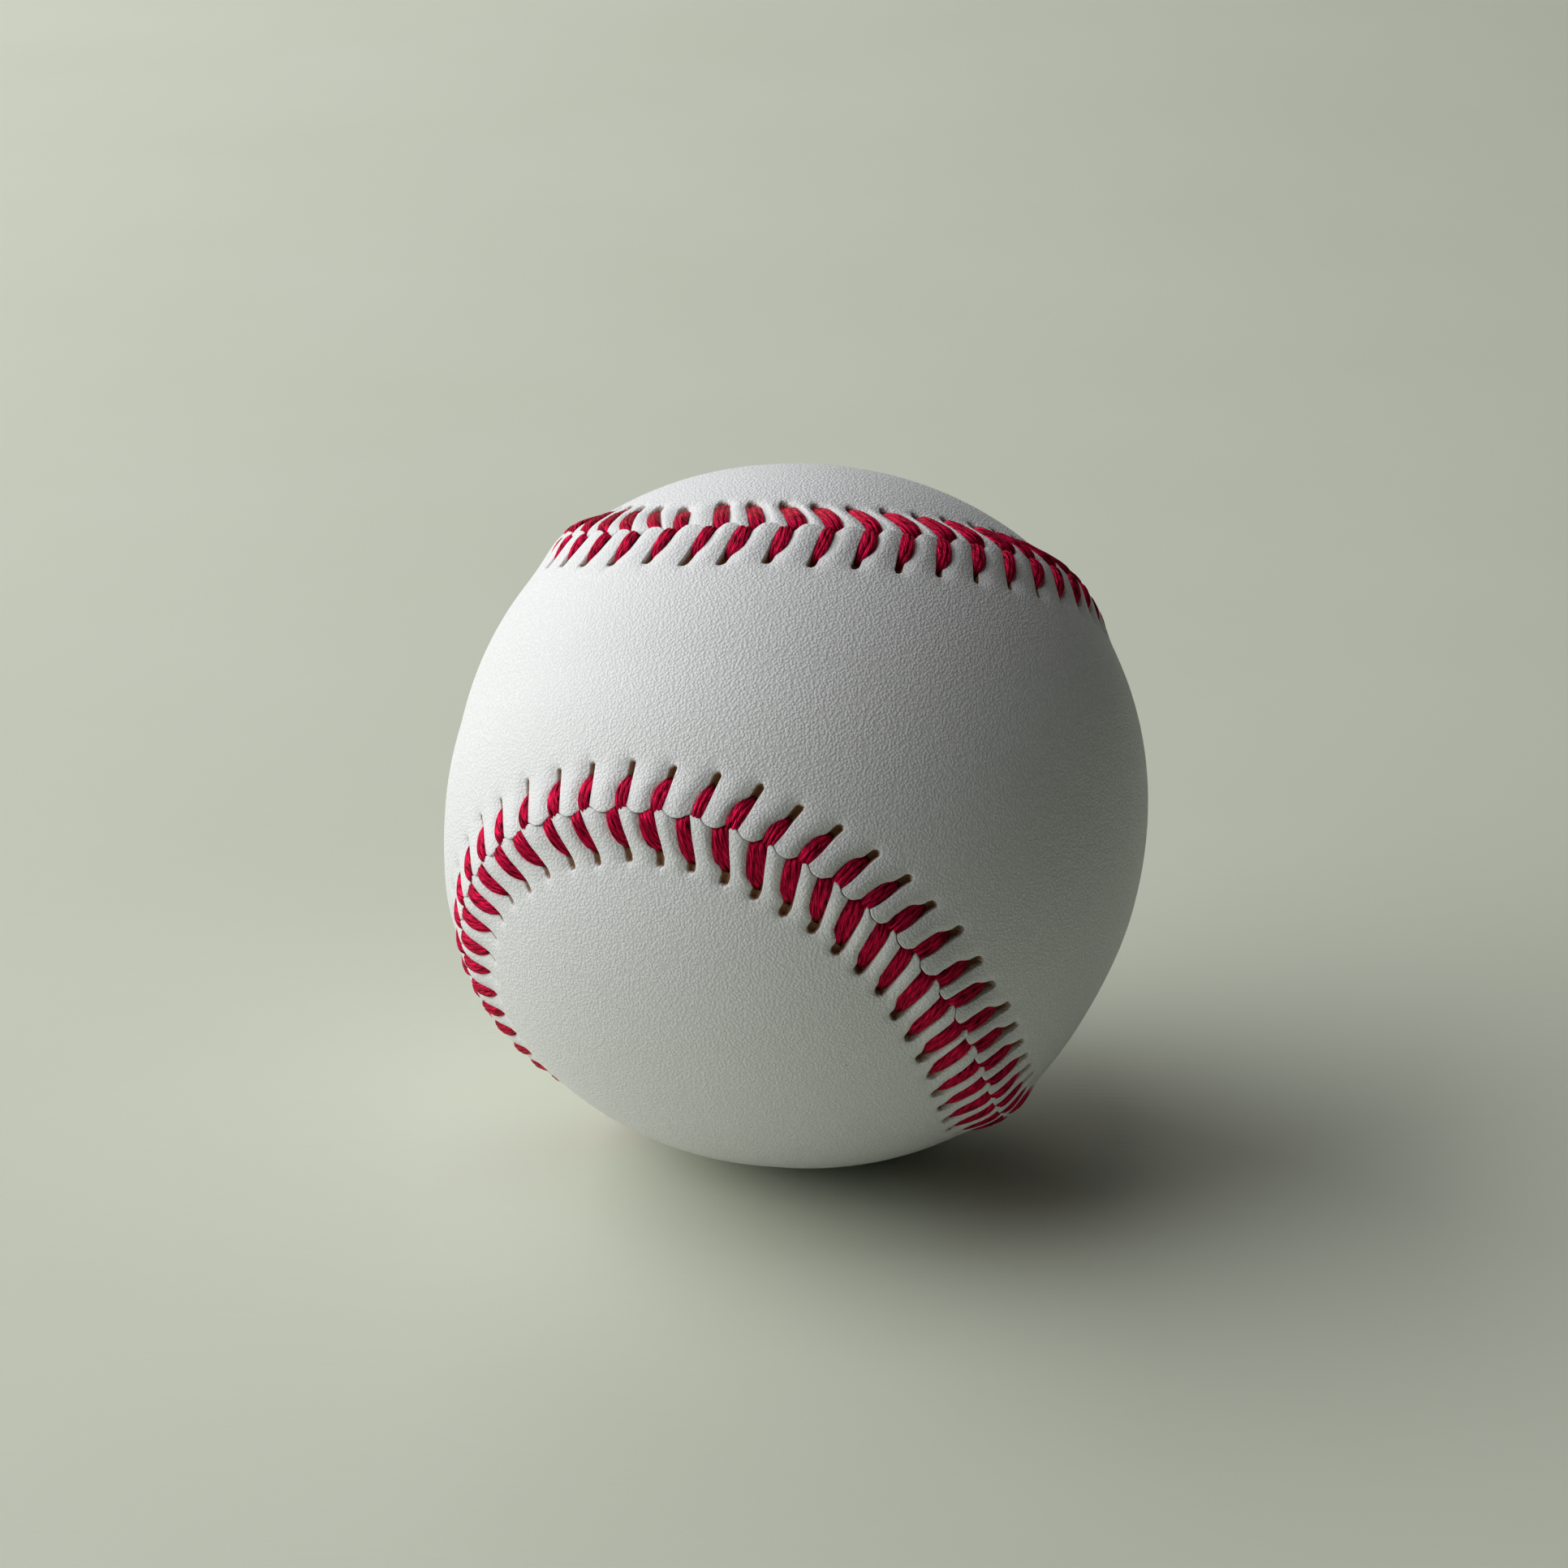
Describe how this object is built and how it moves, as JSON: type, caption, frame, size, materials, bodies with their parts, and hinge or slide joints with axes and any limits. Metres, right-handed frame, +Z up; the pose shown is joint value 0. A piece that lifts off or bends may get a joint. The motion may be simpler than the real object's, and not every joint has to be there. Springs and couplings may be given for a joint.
{
  "type": "baseball",
  "caption": "Round ball with a cork and rubber pill, wound yarn core, figure-eight white leather panels and a raised red sewn seam, for throwing, batting and catching.",
  "frame": {"origin": "centre of the ball", "axes": "+Z up, +Y away from the viewer and +X to the right as the ball lies with the waist of one panel towards the viewer"},
  "size_m": [0.0729, 0.0769, 0.0748],
  "materials": {
    "cork_composition": "pressed cork granules in rubber, matte",
    "black_rubber": "moulded, matte",
    "red_rubber": "moulded, matte",
    "grey_wool": "wound wool yarn",
    "white_wool": "wound wool yarn",
    "white_cotton": "wound fine cotton yarn",
    "white_leather": "alum-tanned, fine pebble grain, satin",
    "red_thread": "waxed twisted thread"
  },
  "bodies": {
    "root": {"cork_core": "cork_composition", "black_shell_lower": "black_rubber", "black_shell_upper": "black_rubber", "gasket_left": "red_rubber", "gasket_right": "red_rubber", "red_shell_left": "red_rubber", "red_shell_right": "red_rubber", "first_winding": "grey_wool", "second_winding": "white_wool", "third_winding": "grey_wool", "finishing_winding": "white_cotton", "waist_panel": "white_leather", "lobe_panel": "white_leather", "seam_thread": "red_thread"}
  },
  "joints": []
}
